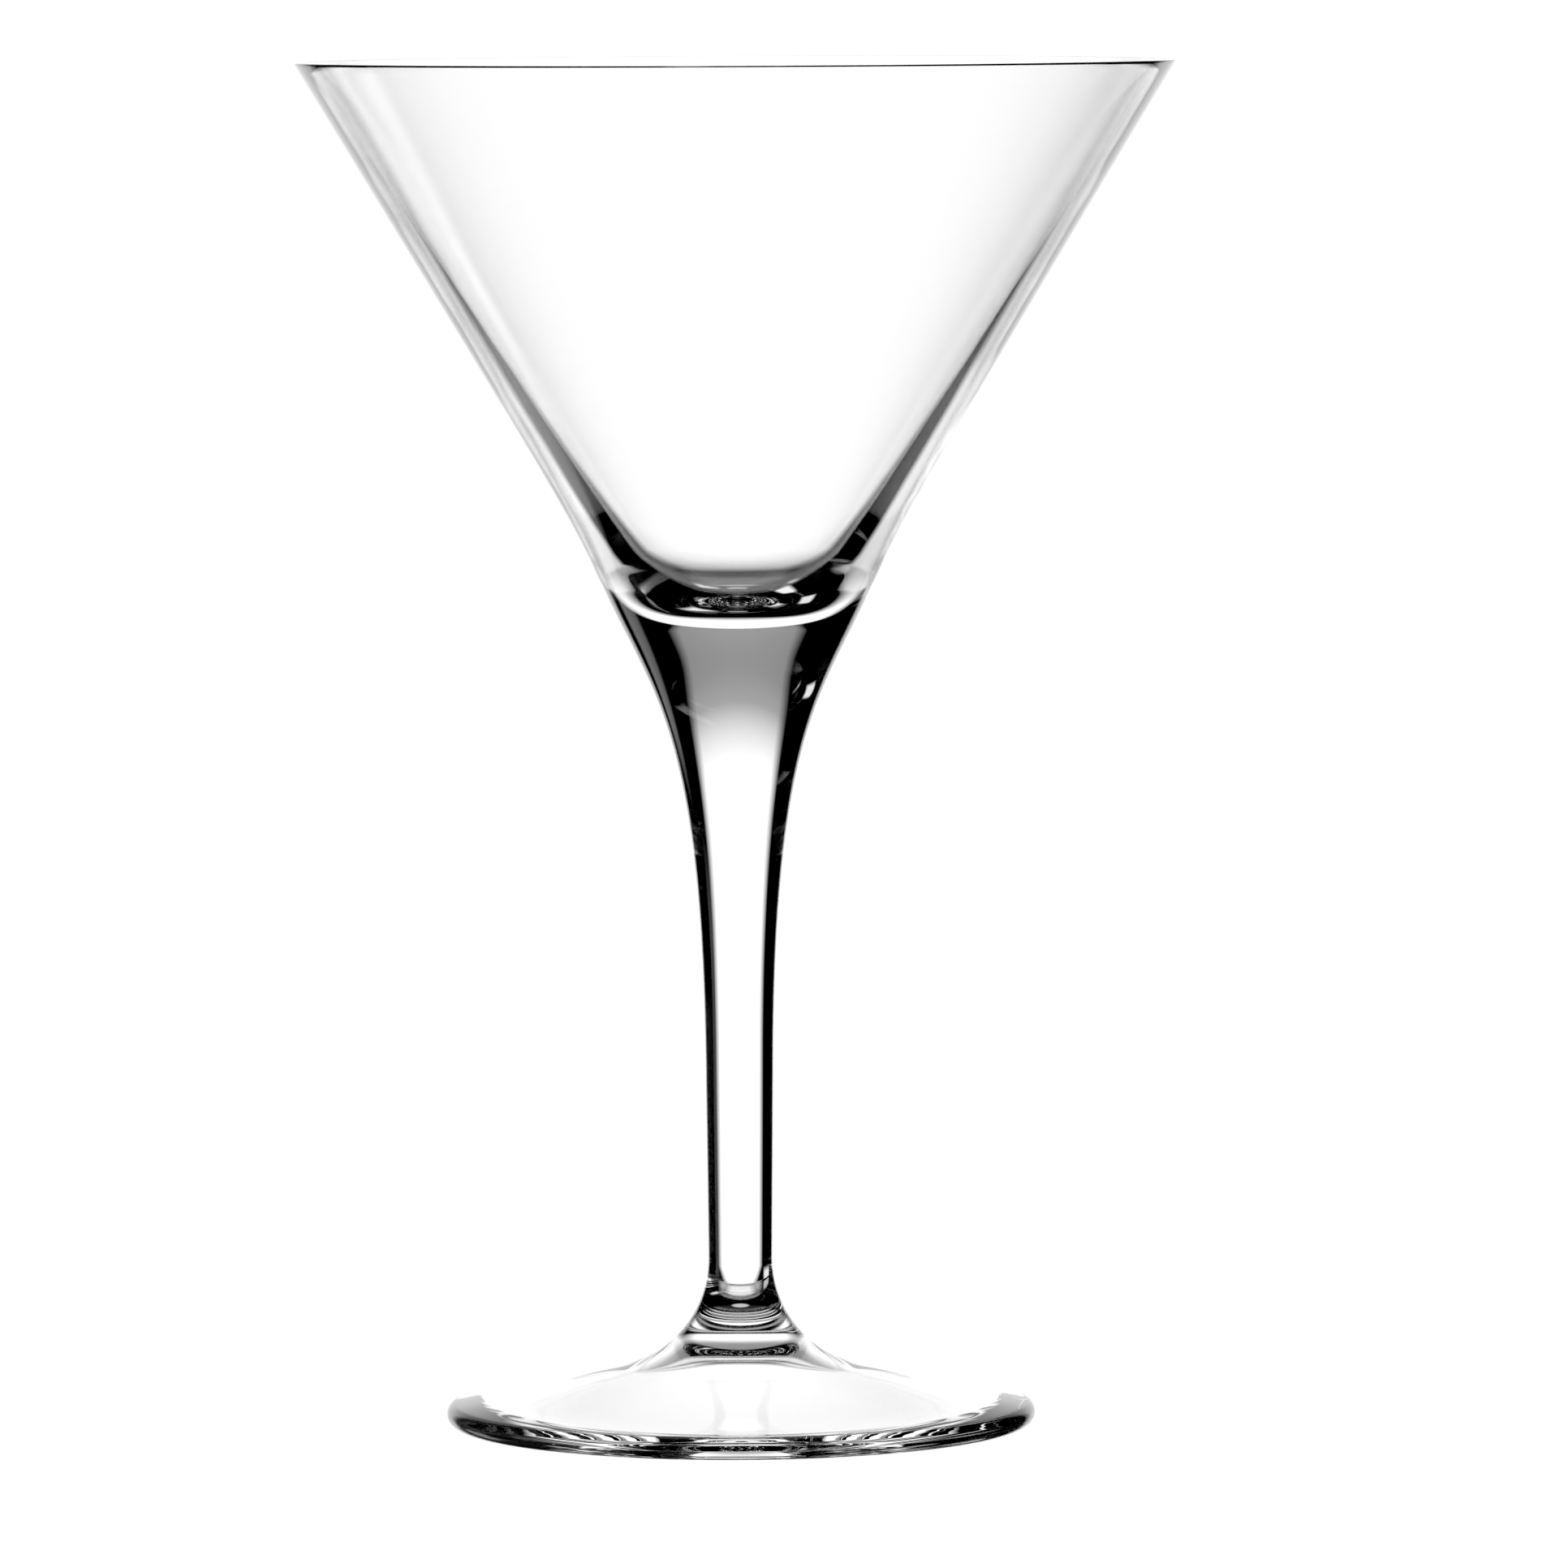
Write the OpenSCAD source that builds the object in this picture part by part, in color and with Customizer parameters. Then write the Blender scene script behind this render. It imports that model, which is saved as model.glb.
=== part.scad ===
// Martini glass: a clear soda-lime cocktail glass made of three fused pieces,
// a thick-based conical bowl, a solid drawn stem and a pressed foot.
// +Z is up. The origin is on the axis, in the plane that the foot rests on.

/* [Bowl] */
// Overall height of the glass, foot to lip
glass_h = 172; // [168:1:178]
// Diameter over the lip
rim_d = 110.6; // [108:0.2:112]
// Slope of the outer wall, measured from the axis (degrees)
outer_angle = 31; // [30:0.1:31.4]
// Slope of the inner wall, measured from the axis (degrees)
inner_angle = 33.6; // [33:0.1:34]
// Radius that rounds each of the two corners of the lip
lip_r = 0.2; // [0.1:0.05:0.35]
// Width of the flat ring between the two corners of the lip
lip_flat = 0.5; // [0.3:0.05:0.7]
// Height of the lowest point inside the bowl
cavity_h = 103.7; // [102.5:0.1:105]
// Height of the rounded bottom inside the bowl, up to the straight inner wall
cavity_round_h = 8.2; // [7.6:0.1:10]

/* [Stem] */
// Radius of the stem at its thinnest, just above the foot
stem_r = 4.06; // [3.5:0.02:4.6]
// Growth of the stem's radius for each millimetre of height, up to the shoulder
stem_taper = 0.01; // [0:0.002:0.014]
// Height at which the straight stem starts to flare into the shoulder
flare_h = 46.8; // [40:0.2:54]
// Height of the belly, where the shoulder meets the bowl's lower wall
belly_h = 105.9; // [104.5:0.1:107]
// Radius of the glass at the belly
belly_r = 16.9; // [16.4:0.1:17.2]
// Height of the fused joint between bowl and stem
bowl_joint_h = 98; // [94:0.5:100]

/* [Foot] */
// Diameter over the foot
foot_d = 74.5; // [70:0.5:80]
// Radius of the rounded edge of the foot
edge_r = 1.4; // [1.1:0.05:1.7]
// Slope of the top of the foot, measured from the table (degrees)
top_angle = 12; // [10.5:0.5:13]
// Radius of the fillet that sweeps from the foot up into the stem
neck_r = 14; // [11:0.5:16]
// Height of the fused joint between stem and foot
foot_joint_h = 16.5; // [15:0.5:18]
// Inner radius of the flat ring that the glass stands on
land_r = 32.3; // [31.5:0.1:33]
// Slope of the hollow underside next to that ring, measured from the table (degrees)
hollow_angle = 10.5; // [9:0.5:11.5]
// Height of the hollow under the foot, on the axis
hollow_h = 8.9; // [8:0.1:9.5]

/* [Hidden] */
$fn = 96;
// Straight pieces that one curve of an outline is drawn with, and one corner of the lip
CURVE_STEPS = 20;
LIP_STEPS = 6;
// Points of the outline that are nearer than this to a cut across it are left out
CUT_GAP = 0.05;
// Colour of clear glass, with its opacity
GLASS = [0.90, 0.94, 0.95, 0.45];

// Lip: centres of its two corners, and the points where the two walls leave them
lip_out = [rim_d / 2 - lip_r, glass_h - lip_r];
lip_in = lip_out - [lip_flat, 0];
lip_outer = lip_out + lip_r * [cos(outer_angle), -sin(outer_angle)];
lip_inner = lip_in + lip_r * [-cos(inner_angle), sin(inner_angle)];

// Shoulder: how far its curve follows the stem, and the belly's slope, before it bends
stem_pull = 41.7;
belly_pull = 13.3;
shoulder_slope = 0.445;

// Lower wall: how far its curve follows the belly's slope, where it bends, and
// where it reaches the straight outer wall
lower_wall_pull = 4.1;
lower_wall_slope = 0.52;
cone_bend_h = belly_h + 4.5;
cone_start_h = belly_h + 21.8;

// Cavity: end of the straight inner wall, and how far the curve of the rounded
// bottom follows the wall, and the floor, before it bends
cavity_turn_h = cavity_h + cavity_round_h;
cavity_turn = [cavity_wall(cavity_turn_h), cavity_turn_h];
cavity_wall_pull = 8.6;
cavity_floor_pull = 6.4;

// Foot: centre of its rounded edge, and the point where the top leaves it
edge = [foot_d / 2 - edge_r, edge_r];
edge_top = edge + edge_r * [sin(top_angle), cos(top_angle)];

// Neck: centre of the fillet, which touches the stem's side and the foot's top
neck_x = stem_r + neck_r;
neck = [neck_x, foot_top(neck_x) + neck_r / cos(top_angle)];

// Hollow: how far its curve follows the slope next to the ring, and its flat top,
// before it bends
hollow_edge_pull = 32;
hollow_top_pull = 12.1;

// Height of the foot's straight top at radius r
function foot_top(r) = edge_top.y + (edge_top.x - r) * tan(top_angle);

// Radius of the straight outer wall of the bowl at height h
function cone_wall(h) = lip_outer.x - (lip_outer.y - h) * tan(outer_angle);

// Radius of the straight inner wall of the bowl at height h
function cavity_wall(h) = lip_inner.x - (lip_inner.y - h) * tan(inner_angle);

// Radius of the straight, slightly tapered stem at height h
function stem_wall(h) = stem_r + stem_taper * (h - neck.y);

// Points of an arc, from one angle to another (degrees, from +X)
function arc(centre, r, from, to, steps = CURVE_STEPS) = [
    for (i = [0:steps])
        let (a = from + (to - from) * i / steps)
        centre + r * [cos(a), sin(a)]
];

// Points of a cubic curve that leaves a towards b and reaches d from c
function cubic(a, b, c, d) = [
    for (i = [0:CURVE_STEPS])
        let (t = i / CURVE_STEPS, u = 1 - t)
        u * u * u * a + 3 * u * u * t * b + 3 * u * t * t * c + t * t * t * d
];

// Outside of the glass from the foot's top up to the lip, as [radius, height]
outline = concat(
    arc(neck, neck_r, 270 - top_angle, 180),
    cubic(
        [stem_wall(flare_h), flare_h],
        [stem_wall(flare_h + stem_pull), flare_h + stem_pull],
        [belly_r - belly_pull * shoulder_slope, belly_h - belly_pull],
        [belly_r, belly_h]
    ),
    cubic(
        [belly_r, belly_h],
        [belly_r + lower_wall_pull * lower_wall_slope, belly_h + lower_wall_pull],
        [cone_wall(cone_bend_h), cone_bend_h],
        [cone_wall(cone_start_h), cone_start_h]
    ),
    [lip_outer]
);

// Radius of the outside of the glass at height h
function outer_r(h) = lookup(h, [for (p = outline) [p.y, p.x]]);

// The part of the outline between two heights
function outline_between(low, high) = concat(
    [[outer_r(low), low]],
    [for (p = outline) if (p.y > low + CUT_GAP && p.y < high - CUT_GAP) p],
    [[outer_r(high), high]]
);

function reversed(points) = [for (i = [len(points) - 1:-1:0]) points[i]];

// Conical bowl with a thick solid base, rounded inside, and a thin, flat-topped lip
module bowl() {
    color(GLASS)
        rotate_extrude()
            polygon(concat(
                [[0, bowl_joint_h]],
                outline_between(bowl_joint_h, lip_outer.y),
                arc(lip_out, lip_r, -outer_angle, 90, LIP_STEPS),
                arc(lip_in, lip_r, 90, 180 - inner_angle, LIP_STEPS),
                cubic(
                    cavity_turn,
                    cavity_turn - cavity_wall_pull * [sin(inner_angle), cos(inner_angle)],
                    [cavity_floor_pull, cavity_h],
                    [0, cavity_h]
                )
            ));
}

// Solid stem that flares into the shoulder below the bowl
module stem() {
    color(GLASS)
        rotate_extrude()
            polygon(concat(
                [[0, foot_joint_h]],
                outline_between(foot_joint_h, bowl_joint_h),
                [[0, bowl_joint_h]]
            ));
}

// Pressed foot: sloping top, rounded edge, flat standing ring, hollow underside
module foot() {
    color(GLASS)
        rotate_extrude()
            polygon(concat(
                [[0, foot_joint_h]],
                reversed(outline_between(outline[0].y, foot_joint_h)),
                arc(edge, edge_r, 90 - top_angle, -90),
                cubic(
                    [land_r, 0],
                    [land_r, 0] + hollow_edge_pull * [-cos(hollow_angle), sin(hollow_angle)],
                    [hollow_top_pull, hollow_h],
                    [0, hollow_h]
                )
            ));
}

bowl();
stem();
foot();
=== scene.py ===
"""Martini glass: the looks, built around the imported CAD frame.

The three fused pieces of glass are turned on a lathe, as smooth closed meshes that follow
the CAD outline. They stand in a white studio whose light comes through windows in a dark
tent, so that clear glass shows pale through the middle and dark along its edges. The
windows are behind the glass as it is seen from the front, the front right, the back left
and the side; seen from other directions it is darker.
"""

import math

import bmesh
import bpy
import numpy as np
from mathutils import Euler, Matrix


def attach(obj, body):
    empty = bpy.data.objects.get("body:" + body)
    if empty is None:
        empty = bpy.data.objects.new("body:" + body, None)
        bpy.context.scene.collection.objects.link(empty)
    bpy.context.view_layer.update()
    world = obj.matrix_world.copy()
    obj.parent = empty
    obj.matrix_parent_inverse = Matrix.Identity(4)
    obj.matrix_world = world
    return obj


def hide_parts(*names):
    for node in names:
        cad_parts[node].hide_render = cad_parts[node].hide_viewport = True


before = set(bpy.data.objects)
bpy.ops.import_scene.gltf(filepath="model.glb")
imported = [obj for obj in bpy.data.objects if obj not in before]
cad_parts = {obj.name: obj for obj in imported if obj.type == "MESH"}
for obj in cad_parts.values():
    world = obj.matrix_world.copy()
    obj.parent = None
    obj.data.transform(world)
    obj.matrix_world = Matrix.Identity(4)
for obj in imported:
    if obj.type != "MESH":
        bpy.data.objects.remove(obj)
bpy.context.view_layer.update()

MM = 0.001

# ---------------------------------------------------------------- outline, in millimetres
# The sizes are those of part.scad. Slopes of walls are measured from the axis, slopes of the
# foot from the table. A pull is how far a curve follows its end's direction before it bends.
GLASS_H = 172.0
RIM_R = 55.3
OUTER_ANGLE = math.radians(31)
INNER_ANGLE = math.radians(33.6)
LIP_R = 0.2
LIP_FLAT = 0.5
CAVITY_H = 103.7
CAVITY_ROUND_H = 8.2
CAVITY_WALL_PULL = 8.6
CAVITY_FLOOR_PULL = 6.4
STEM_R = 4.06
STEM_TAPER = 0.01
FLARE_H = 46.8
STEM_PULL = 41.7
BELLY_H = 105.9
BELLY_R = 16.9
BELLY_PULL = 13.3
SHOULDER_SLOPE = 0.445
LOWER_WALL_PULL = 4.1
LOWER_WALL_SLOPE = 0.52
CONE_BEND_H = BELLY_H + 4.5
CONE_START_H = BELLY_H + 21.8
BOWL_JOINT_H = 98.0
FOOT_R = 37.25
EDGE_R = 1.4
TOP_ANGLE = math.radians(12)
NECK_R = 14.0
FOOT_JOINT_H = 16.5
LAND_R = 32.3
HOLLOW_ANGLE = math.radians(10.5)
HOLLOW_H = 8.9
HOLLOW_EDGE_PULL = 32
HOLLOW_TOP_PULL = 12.1
CUT_GAP = 0.05       # points of the outline nearer than this to a cut across it are left out

# Straight pieces that each stretch of the outline is drawn with, and one turn of the lathe
TURNS = 256
LIP_OUT_STEPS = 16
LIP_IN_STEPS = 10
INNER_WALL_STEPS = 80
OUTER_WALL_STEPS = 60
LOWER_WALL_STEPS = 60
CAVITY_STEPS = 60
SHOULDER_STEPS = 100
STEM_STEPS = 20
NECK_STEPS = 40
TOP_STEPS = 40
EDGE_STEPS = 32
LAND_STEPS = 4
HOLLOW_STEPS = 90


def arc(centre, radius, start, stop, steps):
    """Points of an arc between two angles in radians, measured from the radial direction."""
    angles = np.linspace(start, stop, steps + 1)
    return [(centre[0] + radius * math.cos(a), centre[1] + radius * math.sin(a)) for a in angles]


def cubic(a, b, c, d, steps):
    """Points of a cubic curve that leaves a towards b and reaches d from c."""
    a, b, c, d = (np.array(p, float) for p in (a, b, c, d))
    points = []
    for t in np.linspace(0, 1, steps + 1):
        u = 1 - t
        points.append(tuple(u**3 * a + 3 * u * u * t * b + 3 * u * t * t * c + t**3 * d))
    return points


def line(a, b, steps):
    """Points of a straight line, without its first point."""
    a, b = np.array(a), np.array(b)
    return [tuple(a + (b - a) * i / steps) for i in range(1, steps + 1)]


# Lip: centres of its two rounded corners, and the points where the two walls leave them
lip_out = (RIM_R - LIP_R, GLASS_H - LIP_R)
lip_in = (lip_out[0] - LIP_FLAT, lip_out[1])
lip_outer = (lip_out[0] + LIP_R * math.cos(OUTER_ANGLE), lip_out[1] - LIP_R * math.sin(OUTER_ANGLE))
lip_inner = (lip_in[0] - LIP_R * math.cos(INNER_ANGLE), lip_in[1] + LIP_R * math.sin(INNER_ANGLE))

# Foot: centre of its rounded edge, the point where the top leaves it, centre of the neck's fillet
edge = (FOOT_R - EDGE_R, EDGE_R)
edge_top = (edge[0] + EDGE_R * math.sin(TOP_ANGLE), edge[1] + EDGE_R * math.cos(TOP_ANGLE))
neck_x = STEM_R + NECK_R
top_at_neck = edge_top[1] + (edge_top[0] - neck_x) * math.tan(TOP_ANGLE)
neck = (neck_x, top_at_neck + NECK_R / math.cos(TOP_ANGLE))


def cone_point(h):
    """The point of the bowl's straight outer wall at height h."""
    return (lip_outer[0] - (lip_outer[1] - h) * math.tan(OUTER_ANGLE), h)


def cavity_point(h):
    """The point of the bowl's straight inner wall at height h."""
    return (lip_inner[0] - (lip_inner[1] - h) * math.tan(INNER_ANGLE), h)


def stem_point(h):
    """The point of the straight, slightly tapered stem at height h."""
    return (STEM_R + STEM_TAPER * (h - neck[1]), h)


belly = (BELLY_R, BELLY_H)
neck_curve = arc(neck, NECK_R, math.radians(270) - TOP_ANGLE, math.pi, NECK_STEPS)
shoulder_curve = cubic(
    stem_point(FLARE_H),
    stem_point(FLARE_H + STEM_PULL),
    (BELLY_R - BELLY_PULL * SHOULDER_SLOPE, BELLY_H - BELLY_PULL),
    belly,
    SHOULDER_STEPS,
)
lower_wall_curve = cubic(
    belly,
    (BELLY_R + LOWER_WALL_PULL * LOWER_WALL_SLOPE, BELLY_H + LOWER_WALL_PULL),
    cone_point(CONE_BEND_H),
    cone_point(CONE_START_H),
    LOWER_WALL_STEPS,
)
outside = (
    neck_curve
    + line(neck_curve[-1], shoulder_curve[0], STEM_STEPS)
    + shoulder_curve[1:]
    + lower_wall_curve[1:]
    + line(lower_wall_curve[-1], lip_outer, OUTER_WALL_STEPS)
)

cavity_turn = cavity_point(CAVITY_H + CAVITY_ROUND_H)
cavity_curve = cubic(
    cavity_turn,
    (
        cavity_turn[0] - CAVITY_WALL_PULL * math.sin(INNER_ANGLE),
        cavity_turn[1] - CAVITY_WALL_PULL * math.cos(INNER_ANGLE),
    ),
    (CAVITY_FLOOR_PULL, CAVITY_H),
    (0, CAVITY_H),
    CAVITY_STEPS,
)
hollow_curve = cubic(
    (LAND_R, 0),
    (LAND_R - HOLLOW_EDGE_PULL * math.cos(HOLLOW_ANGLE), HOLLOW_EDGE_PULL * math.sin(HOLLOW_ANGLE)),
    (HOLLOW_TOP_PULL, HOLLOW_H),
    (0, HOLLOW_H),
    HOLLOW_STEPS,
)


def outside_between(low, high):
    """The part of the outside between two heights."""
    radii, heights = zip(*outside)
    first, last = [(float(np.interp(h, heights, radii)), h) for h in (low, high)]
    return [first] + [p for p in outside if low + CUT_GAP < p[1] < high - CUT_GAP] + [last]


# ---------------------------------------------------------------- pieces
RIPPLE = 0.03                       # the deepest that the ripple goes into the glass
AXIS_FADE = 4                       # the ripple dies out over these distances, in millimetres
LIP_FADE = 12
TABLE_FADE = 6
CREASE_ANGLE = math.radians(30)     # an edge sharper than this is shaded as a corner


def ripple(angle, r, h):
    """How far fire-polished glass strays from a true turned shape, in millimetres.

    Three waves, with 2, 3 and 5 crests to a turn, shift round as they go up the glass.
    """
    waves = (
        math.sin(2 * angle + h / 19)
        + 0.7 * math.sin(3 * angle - h / 13 + 1)
        + 0.5 * math.sin(5 * angle + h / 7 + r / 9)
    )
    highest = 1 + 0.7 + 0.5
    fade = min(1, r / AXIS_FADE, (GLASS_H - h) / LIP_FADE, h / TABLE_FADE)
    return -RIPPLE * (1 + waves / highest) / 2 * fade


def lathe(name, profile, joints):
    """A closed mesh of revolution. profile runs from the axis to the axis; joints are the heights
    of its fused faces, which are flat and take the second material slot."""
    mesh = bpy.data.meshes.new(name)
    bm = bmesh.new()
    turn = [2 * math.pi * i / TURNS for i in range(TURNS)]
    rings = []
    for r, h in profile:
        if r == 0:
            rings.append([bm.verts.new((0, 0, h * MM))])
            continue
        radii = [r + ripple(a, r, h) for a in turn]
        rings.append([
            bm.verts.new((q * MM * math.cos(a), q * MM * math.sin(a), h * MM))
            for q, a in zip(radii, turn)
        ])
    for ring, following, (_, h0), (_, h1) in zip(rings, rings[1:], profile, profile[1:]):
        fused = h0 == h1 and h0 in joints
        for i in range(TURNS):
            j = (i + 1) % TURNS
            corners = [ring[i % len(ring)], ring[j % len(ring)]]
            corners += [following[j % len(following)], following[i % len(following)]]
            face = bm.faces.new(list(dict.fromkeys(corners)))
            face.smooth = not fused
            face.material_index = int(fused)
    bmesh.ops.recalc_face_normals(bm, faces=bm.faces)
    for e in bm.edges:
        e.smooth = e.calc_face_angle() < CREASE_ANGLE
    bm.to_mesh(mesh)
    bm.free()
    piece = bpy.data.objects.new(name, mesh)
    bpy.context.scene.collection.objects.link(piece)
    return piece


bowl = lathe(
    "glass_bowl",
    [(0, BOWL_JOINT_H)]
    + outside_between(BOWL_JOINT_H, lip_outer[1])[:-1]
    + arc(lip_out, LIP_R, -OUTER_ANGLE, math.pi / 2, LIP_OUT_STEPS)
    + arc(lip_in, LIP_R, math.pi / 2, math.pi - INNER_ANGLE, LIP_IN_STEPS)
    + line(lip_inner, cavity_turn, INNER_WALL_STEPS)
    + cavity_curve[1:],
    [BOWL_JOINT_H],
)
stem = lathe(
    "glass_stem",
    [(0, FOOT_JOINT_H)] + outside_between(FOOT_JOINT_H, BOWL_JOINT_H) + [(0, BOWL_JOINT_H)],
    [FOOT_JOINT_H, BOWL_JOINT_H],
)
foot = lathe(
    "glass_foot",
    [(0, FOOT_JOINT_H)]
    + outside_between(neck_curve[0][1], FOOT_JOINT_H)[::-1]
    + line(neck_curve[0], edge_top, TOP_STEPS)[:-1]
    + arc(edge, EDGE_R, math.pi / 2 - TOP_ANGLE, -math.pi / 2, EDGE_STEPS)
    + line((edge[0], 0), (LAND_R, 0), LAND_STEPS)
    + hollow_curve[1:],
    [FOOT_JOINT_H],
)


# ---------------------------------------------------------------- materials
def clear_glass(name):
    """Soda-lime glass: fire-polished, with the faint long waves that pressing leaves."""
    material = bpy.data.materials.new(name)
    material.use_nodes = True
    nodes, links = material.node_tree.nodes, material.node_tree.links
    shader = nodes["Principled BSDF"]
    shader.inputs["Base Color"].default_value = (1, 1, 1, 1)
    shader.inputs["Roughness"].default_value = 0.0
    shader.inputs["IOR"].default_value = 1.52
    shader.inputs["Transmission Weight"].default_value = 1.0
    waves = nodes.new("ShaderNodeTexNoise")
    waves.inputs["Scale"].default_value = 90
    waves.inputs["Detail"].default_value = 1
    bump = nodes.new("ShaderNodeBump")
    bump.inputs["Strength"].default_value = 0.5
    bump.inputs["Distance"].default_value = 0.00004
    place = nodes.new("ShaderNodeTexCoord")
    links.new(place.outputs["Object"], waves.inputs["Vector"])
    links.new(waves.outputs["Fac"], bump.inputs["Height"])
    links.new(bump.outputs["Normal"], shader.inputs["Normal"])
    return material


def bare_material(name, shader_type):
    """A material whose only shader is the one given. Returns the material and that shader."""
    material = bpy.data.materials.new(name)
    material.use_nodes = True
    nodes = material.node_tree.nodes
    nodes.remove(nodes["Principled BSDF"])
    shader = nodes.new(shader_type)
    material.node_tree.links.new(shader.outputs[0], nodes["Material Output"].inputs[0])
    return material, shader


# The face where two pieces have melted into one: light goes straight through it
fused_face, _ = bare_material("fused_face", "ShaderNodeBsdfTransparent")

for piece, node in ((bowl, "bowl"), (stem, "stem"), (foot, "foot")):
    piece.data.materials.append(clear_glass(node + "_clear"))
    piece.data.materials.append(fused_face)
    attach(piece, "root")
    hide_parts(node)


# ---------------------------------------------------------------- studio
COVE_PROFILE = [(3, 0), (3.5, 0.2), (3.9, 0.7), (4, 3), (0.5, 3.2)]     # radius, height in metres
COVE_TURNS = 64
COVE_GLOW = 1.02


def studio_cove():
    """A pale floor that curves up into walls and a ceiling, all round the glass."""
    mesh = bpy.data.meshes.new("studio_cove")
    bm = bmesh.new()
    turn = [2 * math.pi * i / COVE_TURNS for i in range(COVE_TURNS)]
    rings = [
        [bm.verts.new((r * math.cos(a), r * math.sin(a), h)) for a in turn]
        for r, h in COVE_PROFILE
    ]
    bm.faces.new(rings[0])
    bm.faces.new(rings[-1])
    for ring, following in zip(rings, rings[1:]):
        for i in range(COVE_TURNS):
            j = (i + 1) % COVE_TURNS
            bm.faces.new((ring[i], ring[j], following[j], following[i]))
    bm.to_mesh(mesh)
    bm.free()
    cove = bpy.data.objects.new("studio_cove", mesh)
    bpy.context.scene.collection.objects.link(cove)
    return cove


# The cove is the plain background. The glass is lit by the tent alone, so it can't see the cove.
cove = studio_cove()
cove_white, glow = bare_material("cove_white", "ShaderNodeEmission")
glow.inputs["Color"].default_value = (1, 1, 1, 1)
glow.inputs["Strength"].default_value = COVE_GLOW
cove.data.materials.append(cove_white)
cove.visible_transmission = False
cove.visible_glossy = False
cove.visible_diffuse = False
cove.visible_shadow = False

world = bpy.data.worlds.new("light_tent")
bpy.context.scene.world = world
world.use_nodes = True
nodes, links = world.node_tree.nodes, world.node_tree.links
background = nodes["Background"]
background.inputs["Color"].default_value = (1, 1, 1, 1)


def maths(operation, a, b=None):
    """The result of a Math node on sockets or numbers."""
    node = nodes.new("ShaderNodeMath")
    node.operation = operation
    for socket, value in zip(node.inputs, (a, b)):
        if isinstance(value, (int, float)):
            socket.default_value = value
        elif value is not None:
            links.new(value, socket)
    return node.outputs[0]


def along(value, stops):
    """A brightness that runs straight from one (value, brightness) stop to the next."""
    low, high = stops[0][0], stops[-1][0]
    share = nodes.new("ShaderNodeMapRange")
    links.new(value, share.inputs["Value"])
    share.inputs["From Min"].default_value = low
    share.inputs["From Max"].default_value = high
    ramp = nodes.new("ShaderNodeValToRGB")
    links.new(share.outputs[0], ramp.inputs[0])
    marks = ramp.color_ramp.elements
    marks.remove(marks[1])
    for i, (v, brightness) in enumerate(stops):
        mark = marks.new((v - low) / (high - low)) if i else marks[0]
        mark.color = (brightness, brightness, brightness, 1)
    return ramp.outputs[0]


# Directions in degrees: azimuth 0 looks along +Y, 90 along +X, and elevation is above level
DEGREES = 180 / math.pi
direction = nodes.new("ShaderNodeSeparateXYZ")
links.new(nodes.new("ShaderNodeTexCoord").outputs["Generated"], direction.inputs[0])
heading = maths("ARCTAN2", direction.outputs["X"], direction.outputs["Y"])
azimuth = maths("MULTIPLY", heading, DEGREES)
elevation = maths("MULTIPLY", maths("ARCSINE", direction.outputs["Z"]), DEGREES)


def panel(azimuth_at, elevation_at, half_width, half_height, soft, brightness):
    """A window in the tent, centred on one direction, with soft edges, all in degrees."""
    across = maths("ABSOLUTE", maths("SUBTRACT", azimuth, azimuth_at))
    up = maths("ABSOLUTE", maths("SUBTRACT", elevation, elevation_at))
    wide = along(across, [(half_width, brightness), (half_width + soft, 0)])
    high = along(up, [(half_height, 1), (half_height + soft, 0)])
    return maths("MULTIPLY", wide, high)


# The large window behind the glass as the camera sees it. It narrows towards the table, and
# only its middle is fully bright.
NARROWS_BELOW = -12
NARROWING = 0.85
BACK_WINDOW_EDGE = [(25, 1), (33.5, 0)]
BACK_WINDOW_HEIGHTS = [
    (-43, 0),
    (-34, 0.6),
    (-25, 1.05),
    (-18, 1.25),
    (10, 1.25),
    (17, 0.85),
    (24, 0.42),
    (32, 0.33),
    (60, 0.3),
    (75, 0),
]
below = maths("MAXIMUM", maths("SUBTRACT", NARROWS_BELOW, elevation), 0)
spread = maths("ADD", maths("ABSOLUTE", azimuth), maths("MULTIPLY", below, NARROWING))
back_window = maths(
    "MULTIPLY",
    along(spread, BACK_WINDOW_EDGE),
    along(elevation, BACK_WINDOW_HEIGHTS),
)

# The smaller windows are behind the glass as seen from the front right, the back left and the
# side. The last light comes up from straight below.
windows = [
    back_window,
    panel(azimuth_at=-46, elevation_at=-24, half_width=6, half_height=6, soft=5, brightness=1),
    panel(azimuth_at=135, elevation_at=-15, half_width=14, half_height=10, soft=10, brightness=1),
    panel(azimuth_at=-90, elevation_at=-4, half_width=7, half_height=6, soft=5, brightness=0.95),
    along(elevation, [(-82, 0.6), (-78, 0)]),
]
light = windows[0]
for window in windows[1:]:
    light = maths("ADD", light, window)
links.new(light, background.inputs["Strength"])

# ---------------------------------------------------------------- camera
CAMERA_DISTANCE = 1.43
CAMERA_HEIGHT = 0.188
camera = bpy.data.objects.new("camera", bpy.data.cameras.new("camera"))
bpy.context.scene.collection.objects.link(camera)
bpy.context.scene.camera = camera
camera.data.lens = 261.2
camera.data.sensor_width = 36
camera.data.clip_end = 20
camera.location = (0, -CAMERA_DISTANCE, CAMERA_HEIGHT)
pitch, yaw, roll = math.radians(-4.28), math.radians(-0.25), math.radians(0.25)
camera.rotation_euler = Euler((math.pi / 2 + pitch, roll, yaw), "XYZ")

scene = bpy.context.scene
scene.view_settings.view_transform = "Standard"
scene.cycles.use_denoising = True
scene.cycles.max_bounces = 32
scene.cycles.transmission_bounces = 32
scene.cycles.glossy_bounces = 16
scene.cycles.transparent_max_bounces = 32
